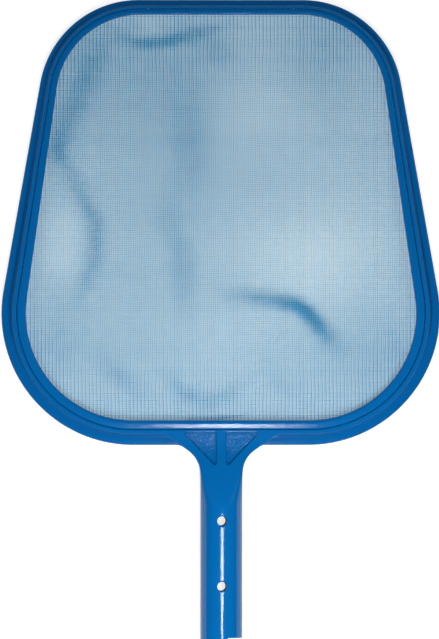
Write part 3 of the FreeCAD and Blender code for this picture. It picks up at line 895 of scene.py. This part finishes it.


# Folds of the slack net: places (x, y, strength) along each, its width, its height and how much shade is
# painted along it
FOLDS = [
    ("front_band", [(-0.070, 0.1935, 0.3), (-0.058, 0.1895, 0.6), (-0.048, 0.188, 0.9), (-0.034, 0.190, 1),
                    (-0.020, 0.194, 0.8), (0.003, 0.1995, 0.2)], 0.0044, 0.0016, 0.46),
    ("front_dip", [(-0.014, 0.190, 0.3), (-0.004, 0.184, 1), (0.003, 0.178, 0.8), (0.008, 0.171, 0.2)],
     0.009, 0.0012, 0.18),
    ("left_corner", [(-0.080, 0.190, 0.3), (-0.091, 0.166, 0.75), (-0.098, 0.147, 0.9), (-0.107, 0.128, 1.1),
                     (-0.111, 0.113, 0.7)], 0.009, 0.0016, 0.3),
    ("left_edge", [(-0.110, 0.116, 0.5), (-0.101, 0.099, 0.6), (-0.093, 0.082, 0.8), (-0.086, 0.068, 1),
                   (-0.084, 0.054, 1), (-0.086, 0.040, 0.9), (-0.091, 0.027, 0.7), (-0.099, 0.009, 0.2)],
     0.006, 0.002, 0.32),
    ("long_band", [(-0.026, 0.160, 0.3), (-0.022, 0.129, 1), (-0.021, 0.102, 0.9), (-0.028, 0.081, 0.5)],
     0.015, 0.002, 0.2),
    ("long_crease", [(-0.037, 0.072, 0.5), (-0.034, 0.062, 0.7), (-0.027, 0.050, 1), (-0.025, 0.024, 0.8),
                     (-0.024, 0.001, 0.2)], 0.008, 0.0014, 0.22),
    ("crease", [(0.001, 0.018, 0.15), (0.021, 0.0165, 0.5), (0.037, 0.014, 0.7), (0.049, 0.0115, 1),
                (0.058, 0.006, 1.1), (0.065, -0.002, 0.9), (0.072, -0.010, 0.5), (0.080, -0.019, 0.15)],
     0.0056, 0.0026, 0.76),
    ("back_left", [(-0.080, -0.027, 0.4), (-0.068, -0.038, 1), (-0.054, -0.050, 0.4)], 0.007, 0.0014, 0.22),
    ("back_middle", [(-0.036, -0.037, 0.4), (-0.024, -0.049, 1), (-0.010, -0.0545, 0.8), (0.003, -0.051, 0.8),
                     (0.016, -0.042, 0.3)], 0.006, 0.0014, 0.26),
    ("back_right", [(0.030, -0.034, 0.4), (0.040, -0.043, 0.8), (0.054, -0.050, 0.4)], 0.007, 0.0012, 0.15),
    ("right_corner", [(0.112, 0.001, 0.4), (0.116, -0.013, 1), (0.114, -0.026, 0.8), (0.102, -0.040, 0.5)],
     0.009, 0.0012, 0.1),
    ("ring_crease", [(-0.022, -0.0662, 0.6), (0.0, -0.0655, 1), (0.014, -0.0642, 0.6)], 0.0014, 0.0005, 0.4),
]


# Patches of painted light and shade on the net's threads, paler or deeper: the middle of each, its reach and
# its change of tone
PAINTED_LIGHT_PATCHES = [
    ("right_middle", (0.068, 0.037), 0.034, 0.22),
    ("right_wide", (0.080, 0.060), 0.045, 0.12),
    ("right_inner", (0.028, 0.044), 0.030, 0.1),
    ("left_bulge_front", (-0.107, 0.064), 0.013, 0.2),
    ("left_bulge_back", (-0.109, 0.040), 0.013, 0.2),
    ("front_left", (-0.080, 0.160), 0.055, -0.12),
    ("left_corner", (-0.092, 0.182), 0.022, -0.08),
    ("front_middle", (-0.030, 0.176), 0.045, -0.12),
    ("front_spot", (-0.047, 0.1995), 0.009, 0.16),
    ("front_right", (0.064, 0.180), 0.032, -0.13),
    ("front_edge", (0.080, 0.198), 0.024, -0.08),
    ("middle_front", (0.026, 0.146), 0.030, 0.1),
    ("back_middle", (-0.004, -0.016), 0.030, 0.08),
    ("back_left", (-0.112, -0.014), 0.024, -0.12),
    ("back_right", (0.098, -0.020), 0.032, -0.08),
]

# Waves by which the slack threads wander: their lengths along x and y, their start and their share
WANDER_ACROSS = [(0.21, 0.047, 0.0, 1.0), (0.031, 0.023, 1.3, 0.5)]
WANDER_ALONG = [(0.043, -0.19, 0.8, 1.0), (-0.021, 0.029, 2.1, 0.5)]
# Waves of the slack net between its folds
SWELLS = [(0.15, 0.19, 0.3, 1.0), (-0.09, 0.14, 1.7, 0.7), (0.06, -0.11, 0.9, 0.4)]
# Streaks of tone along a thread: their length and share
STREAKS = [(0.017, 1.0), (0.0061, 0.6)]


def from_ring(x, y):
    """How far each point of the arrays lies inside the ring, or 0 under it."""
    path = half_path(settings("ring").inner_inset)
    inner, _ = near_path(np.abs(x), y, path)
    widest = np.interp(y, path[:, 1], path[:, 0], left=0, right=0)
    return np.where(np.abs(x) < widest, inner, 0)


def waves(x, y, kinds):
    """The sum of some waves over the net at each point of the arrays."""
    total = np.zeros(x.shape)
    for length_x, length_y, start, share in kinds:
        total += share * np.sin(2 * math.pi * (x / length_x + y / length_y) + start)
    return total


def drifted(x, y, inside):
    """Points of the net moved a little in its plane, as slack threads wander."""
    net = settings("net")
    free = net.drift * smooth_step(inside / net.fold_reach)
    return x + free * waves(x, y, WANDER_ACROSS), y + free * waves(x, y, WANDER_ALONG)


def net_tone_with_painted_light(x, y):
    """How pale the net's threads are painted at each point of the arrays, with painted shade along the folds
    and painted light and shade in patches: 0 in its deepest fold, 1 where it is palest.
    """
    tone = np.full(x.shape, settings("net").tone)
    # Painted light and shade in patches over the net
    for _, middle, reach, change in PAINTED_LIGHT_PATCHES:
        tone += change * np.exp(-((x - middle[0]) ** 2 + (y - middle[1]) ** 2) / reach ** 2)
    # Painted shade along each fold and crease
    for _, line, width, _, painted_shade in FOLDS:
        apart, strength = near_path(x, y, line)
        tone -= painted_shade * strength * np.exp(-(apart / width) ** 2)
    return tone


def streaks(along, thread, along_y):
    """A thread's own change of tone, the same each time for the same thread."""
    net = settings("net")
    draw = np.random.default_rng([net.seed, 1 if along_y else 0, abs(int(thread)), 1 if thread < 0 else 0])
    change = np.full(along.shape, net.jitter * draw.uniform(-1, 1))
    for length, share in STREAKS:
        change += net.streak * share * np.sin(along * 2 * math.pi / length + draw.uniform(0, 2 * math.pi))
    return change


def net_height(x, y, inside):
    """Height of the net's middle at each point of the arrays."""
    net = settings("net")
    clamp = (NET_LOW.z + NET_HIGH.z) / 2
    sag = net.sag * (1 - np.exp(-inside / net.sag_reach))
    folds = net.swell * waves(x, y, SWELLS)
    for _, line, width, height, _ in FOLDS:
        apart, strength = near_path(x, y, line)
        folds += height * strength * np.exp(-(apart / width) ** 2)
    height = clamp - sag + smooth_step(inside / net.fold_reach) * folds
    return np.maximum(height, net.crimp + net.thickness)


def thread_points(thread, low, high, crossings, along_y):
    """A thread's points (x, y, z, 1) from its low end to its high one, its widths there and its tones."""
    net = settings("net")
    pitch = net.pitch
    clear_of_ends = (crossings * pitch > low + pitch / 4) & (crossings * pitch < high - pitch / 4)
    inner = crossings[clear_of_ends]
    along = np.concatenate([[low], inner * pitch, [high]])
    side = np.concatenate([[inner[0] - 1], inner, [inner[-1] + 1]])
    across = np.full(along.shape, thread * pitch)
    x, y = (across, along) if along_y else (along, across)
    inside = from_ring(x, y)
    # The net's tone with the painted light and shade of its folds and patches
    tone = net_tone_with_painted_light(x, y)
    pressed = 1 - (1 - net.pressed) * smooth_step(1 - inside / pitch)
    up = np.where((side + thread + (0 if along_y else 1)) % 2 == 0, 1.0, -1.0)
    height = net_height(x, y, inside) + up * net.crimp * pressed
    # Threads spread wider where the tone, with its painted shade, is deeper
    width = pressed * (1 + net.gather * (net.tone - tone))
    tone = tone + streaks(along, thread, along_y)
    x, y = drifted(x, y, inside)
    if along_y:
        partner = -1 if thread % 2 else 1
        near_end = 1 - smooth_step(np.minimum(along - low, high - along) / net.stripe_reach)
        striped = net.stripe_middle + (1 - net.stripe_middle) * near_end
        x = x + partner * net.pairing * striped
        tone = tone + partner * net.stripe * striped
        width = width * (1 - partner * net.uneven * striped)
    return np.stack([x, y, height, np.ones(x.shape)], axis=1), width, tone


def thread_curves(name, along_y, keep):
    """The kept threads of one direction, woven over and under, as a curve, and the tones along each."""
    net = settings("net")
    pitch = net.pitch
    path = net_path()
    columns = math.floor(path[:, 0].max() / pitch)
    columns = np.arange(-columns, columns + 1)
    rows = np.arange(math.ceil(path[0, 1] / pitch), math.floor(path[-1, 1] / pitch) + 1)
    threads, crossings = (columns, rows) if along_y else (rows, columns)
    curve = bpy.data.curves.new(name, "CURVE")
    curve.dimensions = "3D"
    curve.twist_mode = "Z_UP"
    curve.bevel_mode = "OBJECT"
    curve.use_fill_caps = True
    tones = []
    for thread, low, high in zip(threads, *thread_ends(threads * pitch, path, along_y)):
        if not keep(thread) or high - low < 2 * pitch:
            continue
        points, width, tone = thread_points(thread, low, high, crossings, along_y)
        spline = curve.splines.new("POLY")
        spline.points.add(len(points) - 1)
        spline.points.foreach_set("co", points.ravel())
        spline.points.foreach_set("radius", width)
        tones.append(tone)
    return curve, tones


def thread_profile(width, thickness):
    """The flat section of a thread."""
    curve = bpy.data.curves.new("thread_section", "CURVE")
    curve.dimensions = "2D"
    spline = curve.splines.new("POLY")
    spline.points.add(THREAD_SIDES - 1)
    x = width / 2
    y = thickness / 2
    for point, place in zip(spline.points, [(-x, -y), (x, -y), (x, y), (-x, y)]):
        point.co = (*place, 0, 1)
    spline.use_cyclic_u = True
    return bpy.data.objects.new("thread_section", curve)


def thread_mesh(name, along_y, keep):
    """The kept threads of one direction as a mesh, with the tone of each point."""
    net = settings("net")
    curve, tones = thread_curves(name, along_y, keep)
    profile = thread_profile(net.warp_width if along_y else net.weft_width, net.thickness)
    curve.bevel_object = profile
    holder = in_scene(name, curve)
    bpy.context.view_layer.update()
    evaluated = holder.evaluated_get(bpy.context.evaluated_depsgraph_get())
    mesh = bpy.data.meshes.new_from_object(evaluated)
    mesh.name = name
    # The mesh begins with the threads' end caps, from the last thread to the first
    caps = [tone[[-1, 0]] for tone in reversed(tones)]
    tone = np.clip(np.repeat(np.concatenate(caps + tones), THREAD_SIDES), 0, 1).astype(np.float32)
    if len(mesh.vertices) != len(tone):
        raise RuntimeError(f"{name} has {len(mesh.vertices)} points for {len(tone)} tones")
    # The tone holds the painted light and shade of the folds and patches, and each thread's own streaks and
    # stripes
    mesh.attributes.new("tone", "FLOAT", "POINT").data.foreach_set("value", tone)
    for used in (holder, profile):
        data = used.data
        bpy.data.objects.remove(used)
        bpy.data.curves.remove(data)
    return mesh


def net_piece(name, along_y, keep):
    """One group of threads."""
    piece = in_scene(name, thread_mesh(name, along_y, keep))
    piece.data.materials.clear()
    piece.data.materials.append(thread_material(name, along_y))
    piece.data.shade_smooth()
    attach(piece, "root")
    return piece


# Materials: the scales are in waves of noise per metre
CLOUD_SCALE = 14.0               # the plastic's slow change of tone
ROUGH_SCALE = 900.0              # the plastic's change of roughness
ROUGH_SPREAD = 0.04
PEEL_SCALE = 420.0               # the moulding's fine ripple
PEEL_DETAIL = 3.0
PEEL_DEPTH = 0.0002
WAVE_SCALE = 120.0               # the ring's waves
WAVE_DETAIL = 1.0
WAVE_DEPTH = 0.0006
GRAIN_DETAIL = 2.0               # the grain of the ring and of the recesses
GRAIN_ROUGHNESS = 0.6
RING_GRAIN_SCALE = 1100.0
STIPPLE_SCALE = 900.0
THREAD_ROUGHNESS = 0.5
THREAD_ROUGH_SPREAD = 0.1
THREAD_ROUGH_SCALE = 700.0
FIBRE_SCALE = 2600.0             # the threads' fine relief
FIBRE_STRENGTH = 0.25
FIBRE_DEPTH = 0.0001
FLOOR_ROUGHNESS = 0.9
FLOOR_SCALE = 3.0                # the floor's slow change of tone
FLOOR_DIM = 0.995


class Value:
    """A node's output that Python's operators turn into Math nodes."""

    def __init__(self, tree, socket):
        self.tree = tree
        self.socket = socket

    def node(self, kind, options=None, values=None, output=0):
        """Adds a node, sets its options and its sockets' values or links, and returns an output."""
        made = self.tree.nodes.new(kind)
        for name, option in (options or {}).items():
            setattr(made, name, option)
        for name, value in (values or {}).items():
            if isinstance(value, Value):
                self.tree.links.new(value.socket, made.inputs[name])
            else:
                made.inputs[name].default_value = value
        return Value(self.tree, made.outputs[output])

    def maths(self, operation, other):
        return self.node("ShaderNodeMath", {"operation": operation}, {0: self, 1: other})

    def __add__(self, other):
        return self.maths("ADD", other)

    def __sub__(self, other):
        return self.maths("SUBTRACT", other)

    def __mul__(self, other):
        return self.maths("MULTIPLY", other)

    def either(self, other):
        """The higher of two values."""
        return self.maths("MAXIMUM", other)

    def noise(self, scale, detail=2.0, roughness=0.5):
        """Soft noise over the piece, around one half."""
        return self.node("ShaderNodeTexNoise", None,
                         {"Vector": self, "Scale": scale, "Detail": detail, "Roughness": roughness})

    def bump(self, strength, depth, under=None):
        """The relief of a height, over another relief if there is one."""
        values = {"Height": self, "Strength": strength, "Distance": depth}
        if under is not None:
            values["Normal"] = under
        return self.node("ShaderNodeBump", None, values)

    def blend(self, share, first, second):
        """A mix of two colours."""
        return self.node("ShaderNodeMix", {"data_type": "RGBA"}, {"Factor": share, 6: first, 7: second}, 2)

    def into(self, shader, name):
        self.tree.links.new(self.socket, shader.inputs[name])


def surface(name):
    """A new material, with its coordinates as a value, and its shader."""
    made = bpy.data.materials.new(name)
    made.use_nodes = True
    tree = made.node_tree
    place = tree.nodes.new("ShaderNodeTexCoord")
    return made, Value(tree, place.outputs["Object"]), tree.nodes["Principled BSDF"]


def rgba(tone, share=1.0):
    return (tone[0] * share, tone[1] * share, tone[2] * share, 1)


def uneven(place, scale, middle, spread):
    """A value that varies over the surface around a middle."""
    return (place.noise(scale) - 0.5) * spread + middle


def moulded_plastic(name, grain=0.0, grain_depth=0.0, ripple=0.0):
    """Glossy blue plastic: slightly uneven in tone, with the faint ripple of a moulding or a grained face."""
    finish = settings("finish")
    made, place, shader = surface(name)
    dark = rgba(finish.plastic, 1 - finish.unevenness)
    light = rgba(finish.plastic, 1 + finish.unevenness)
    place.blend(place.noise(CLOUD_SCALE), dark, light).into(shader, "Base Color")
    uneven(place, ROUGH_SCALE, finish.roughness, ROUGH_SPREAD).into(shader, "Roughness")
    bump = place.noise(PEEL_SCALE, PEEL_DETAIL).bump(finish.peel, PEEL_DEPTH)
    if ripple:
        bump = place.noise(WAVE_SCALE, WAVE_DETAIL).bump(ripple, WAVE_DEPTH, bump)
    if grain:
        bump = place.noise(grain, GRAIN_DETAIL, GRAIN_ROUGHNESS).bump(1.0, grain_depth, bump)
    bump.into(shader, "Normal")
    shader.inputs["Specular IOR Level"].default_value = finish.specular
    return made


def thread_material(name, along_y):
    """Blue plastic thread, paler or deeper by its tone, which holds the painted light and shade of the net's
    folds and patches besides each thread's own streaks and stripes.
    """
    finish = settings("finish")
    made, place, shader = surface(name)
    tone = place.node("ShaderNodeAttribute", {"attribute_name": "tone"}, None, "Fac")
    low, high = (finish.warp_deep, finish.warp_pale) if along_y else (finish.weft_deep, finish.weft_pale)
    place.blend(tone, rgba(low), rgba(high)).into(shader, "Base Color")
    rough = uneven(place, THREAD_ROUGH_SCALE, THREAD_ROUGHNESS, THREAD_ROUGH_SPREAD)
    rough.into(shader, "Roughness")
    place.noise(FIBRE_SCALE).bump(FIBRE_STRENGTH, FIBRE_DEPTH).into(shader, "Normal")
    shader.inputs["Specular IOR Level"].default_value = finish.specular
    return made


# Pieces
def main_frame():
    """The rim, gusset and spigot in one moulding, with their recesses, hollows, bore and holes."""
    ring = settings("ring")
    spigot = settings("spigot")
    rim = settings("rim")
    body = rim_solid()
    combined(body, [rib_solids(), skirt_solid(), gusset_solid(), spigot_solid()], "UNION")
    first_hole = back_y() - spigot.hole_distance
    slot_foot = NET_LOW.z - rim.shelf_thickness - ring.tab_clearance
    tools = [recess_cutter(), core_cutter()]
    tools += [mirrored_copy(tool) for tool in tools]
    tools += [bore_cutter(), notch_cutter(), clip_hole_cutter(first_hole),
              clip_hole_cutter(first_hole - spigot.hole_spacing),
              tab_blocks(ring.tab_clearance, slot_foot, TALL / 4)]
    combined(body, tools, "DIFFERENCE")
    check_closed(body)
    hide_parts("main_frame")
    plain = moulded_plastic("frame_plastic")
    stippled = moulded_plastic("stippled_plastic", STIPPLE_SCALE, settings("finish").stipple)
    finished(body, [plain, stippled])


def retaining_ring():
    """The ring with the tabs under it."""
    rim = settings("rim")
    ring = settings("ring")
    bead = ring_solid()
    low = NET_LOW.z - rim.shelf_thickness + ring.tab_short
    combined(bead, [tab_blocks(0, low, NET_HIGH.z + rim.shelf_thickness / 2)], "UNION")
    check_closed(bead)
    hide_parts("retaining_ring")
    finish = settings("finish")
    glossy = moulded_plastic("ring_plastic", RING_GRAIN_SCALE, finish.grain, finish.ripple)
    finished(bead, [glossy])


def half_area(path):
    """The area between a path of the right half and the middle line."""
    return np.sum((path[1:, 0] + path[:-1, 0]) / 2 * np.diff(path[:, 1]))


def net():
    """The woven net, as four groups of threads."""
    pitch = settings("net").pitch
    path = net_path()
    half_width = path[:, 0].max()
    width = 2 * half_width
    length = path[-1, 1] - path[0, 1]
    middle_row = round((path[-1, 1] + path[0, 1]) / 2 / pitch)
    front_length = path[-1, 1] - middle_row * pitch
    back_length = length - front_length
    front_area = 2 * half_area(path[path[:, 1] > middle_row * pitch])
    back_area = min(2 * half_area(path) - front_area, width * back_length)
    first = net_piece("net_warp_left", True, lambda thread: thread < 0)
    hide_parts("net")
    net_piece("net_warp_right", True, lambda thread: thread >= 0)
    net_piece("net_weft_back", False, lambda thread: thread < middle_row)
    net_piece("net_weft_front", False, lambda thread: thread >= middle_row)


def floor_piece(name, bm, drop, material):
    """A level part of the floor, a little below the object."""
    piece = solid(name, bm)
    piece.data.transform(Matrix.Translation((0, 0, -drop)))
    dress(piece.data, [material])


def studio():
    """The floor with a painted shadow of the net under it, the light and the camera that looks straight down.
    """
    stage = settings("stage")
    bm = bmesh.new()
    bmesh.ops.create_grid(bm, x_segments=4, y_segments=4, size=stage.floor_size)
    floor_piece("floor", bm, FLOOR_DROP, floor_material("floor_white", stage.glow))
    # The patch under the net glows dimmer and bluer than the floor round it: a painted shadow of the net
    bm = bmesh.new()
    half_loop(bm, settings("rim").ledge_inset)
    both_halves(bm)
    bmesh.ops.contextual_create(bm, geom=bm.edges[:])
    floor_piece("floor_painted_net_shadow", bm, SHADE_DROP, floor_material("floor_shaded", stage.shade_glow))
    world = bpy.data.worlds.new("studio")
    world.use_nodes = True
    sky = world.node_tree.nodes["Background"]
    sky.inputs["Color"].default_value = rgba(stage.sky)
    sky.inputs["Strength"].default_value = stage.sky_strength
    scene = bpy.context.scene
    scene.world = world
    add_lamp("key", stage.key_place, stage.key_size, stage.key_power, True)
    add_lamp("soft", stage.soft_place, (stage.soft_size, stage.soft_size), stage.soft_power, False)
    for side in (-1, 1):
        place = (side * stage.fill_place[0], stage.fill_place[1], stage.fill_place[2])
        add_lamp("fill", place, (stage.fill_size, stage.fill_size), stage.fill_power, False)
    lens = bpy.data.cameras.new("camera")
    lens.lens = stage.lens
    lens.clip_end = 2 * stage.distance
    camera = in_scene("camera", lens)
    lean = Matrix.Rotation(-stage.view_lean, 3, "Y")
    camera.location = Vector((stage.view_x, stage.view_y, 0)) + lean @ Vector((0, 0, stage.distance))
    camera.rotation_euler = lean.to_euler()
    scene.camera = camera
    scene.view_settings.view_transform = "Standard"


def add_lamp(name, place, sizes, power, shines):
    """A rectangular light over the object, which leaves its own highlights only where it shines."""
    data = bpy.data.lights.new(name, "AREA")
    data.shape = "RECTANGLE"
    data.size, data.size_y = sizes
    data.energy = power
    lamp = in_scene(name, data)
    lamp.location = place
    if abs(place[0]) > sizes[0]:
        lamp.rotation_euler = (-Vector(place)).to_track_quat("-Z", "Y").to_euler()
    lamp.visible_glossy = shines


def floor_material(name, glow):
    """The floor. What is seen straight or in a reflection glows, and the glow lights nothing else."""
    stage = settings("stage")
    made, place, shader = surface(name)
    shader.inputs["Roughness"].default_value = FLOOR_ROUGHNESS
    shader.inputs["Specular IOR Level"].default_value = 0.0
    tone = place.blend(place.noise(FLOOR_SCALE), rgba(stage.floor, FLOOR_DIM), rgba(stage.floor))
    tone.into(shader, "Base Color")
    rays = [place.node("ShaderNodeLightPath", output=kind)
            for kind in ("Is Camera Ray", "Is Glossy Ray", "Is Transmission Ray")]
    seen = rays[0].either(rays[1]).either(rays[2])
    place.blend(seen, rgba((0, 0, 0)), rgba(glow)).into(shader, "Emission Color")
    shader.inputs["Emission Strength"].default_value = 1.0
    return made


class SkimmerFrame(bpy.types.Operator):
    """Model the rim, gusset and spigot in one moulding"""
    bl_idname = "skimmer.main_frame"
    bl_label = "Main Frame"

    def execute(self, context):
        main_frame()
        return {"FINISHED"}


class SkimmerRing(bpy.types.Operator):
    """Model the ring that clamps the net into the rim"""
    bl_idname = "skimmer.retaining_ring"
    bl_label = "Retaining Ring"

    def execute(self, context):
        retaining_ring()
        return {"FINISHED"}


class SkimmerNet(bpy.types.Operator):
    """Weave the net, sag it and lay its folds"""
    bl_idname = "skimmer.net"
    bl_label = "Net"

    def execute(self, context):
        net()
        return {"FINISHED"}


class SkimmerStage(bpy.types.Operator):
    """Set up the floor, the light and the camera"""
    bl_idname = "skimmer.stage"
    bl_label = "Stage"

    def execute(self, context):
        studio()
        return {"FINISHED"}


class SkimmerPanel(bpy.types.Panel):
    """Lists the skimmer's pieces and their sizes"""
    bl_idname = "VIEW3D_PT_skimmer"
    bl_label = "Leaf Skimmer Net"
    bl_space_type = "VIEW_3D"
    bl_region_type = "UI"
    bl_category = "Skimmer"

    def draw(self, context):
        for operator in OPERATORS:
            self.layout.operator(operator.bl_idname)
        for name, group in SETTINGS.items():
            box = self.layout.box()
            box.label(text=group.bl_rna.name)
            for field in group.__annotations__:
                box.prop(getattr(context.scene, name), field)


OPERATORS = [SkimmerFrame, SkimmerRing, SkimmerNet, SkimmerStage]
SETTINGS = {"skimmer_rim": RimSizes, "skimmer_ring": RingSizes, "skimmer_spigot": SpigotSizes,
            "skimmer_gusset": GussetSizes, "skimmer_net": NetSizes, "skimmer_finish": Finishes,
            "skimmer_stage": StageSettings}


def register():
    for item in [*SETTINGS.values(), *OPERATORS, SkimmerPanel]:
        bpy.utils.register_class(item)
    for name, group in SETTINGS.items():
        setattr(bpy.types.Scene, name, bpy.props.PointerProperty(type=group))


def unregister():
    for name in SETTINGS:
        delattr(bpy.types.Scene, name)
    for item in reversed([*SETTINGS.values(), *OPERATORS, SkimmerPanel]):
        bpy.utils.unregister_class(item)


def main():
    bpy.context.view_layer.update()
    register()
    bpy.ops.skimmer.main_frame()
    bpy.ops.skimmer.retaining_ring()
    bpy.ops.skimmer.net()
    bpy.ops.skimmer.stage()


if __name__ == "__main__":
    main()
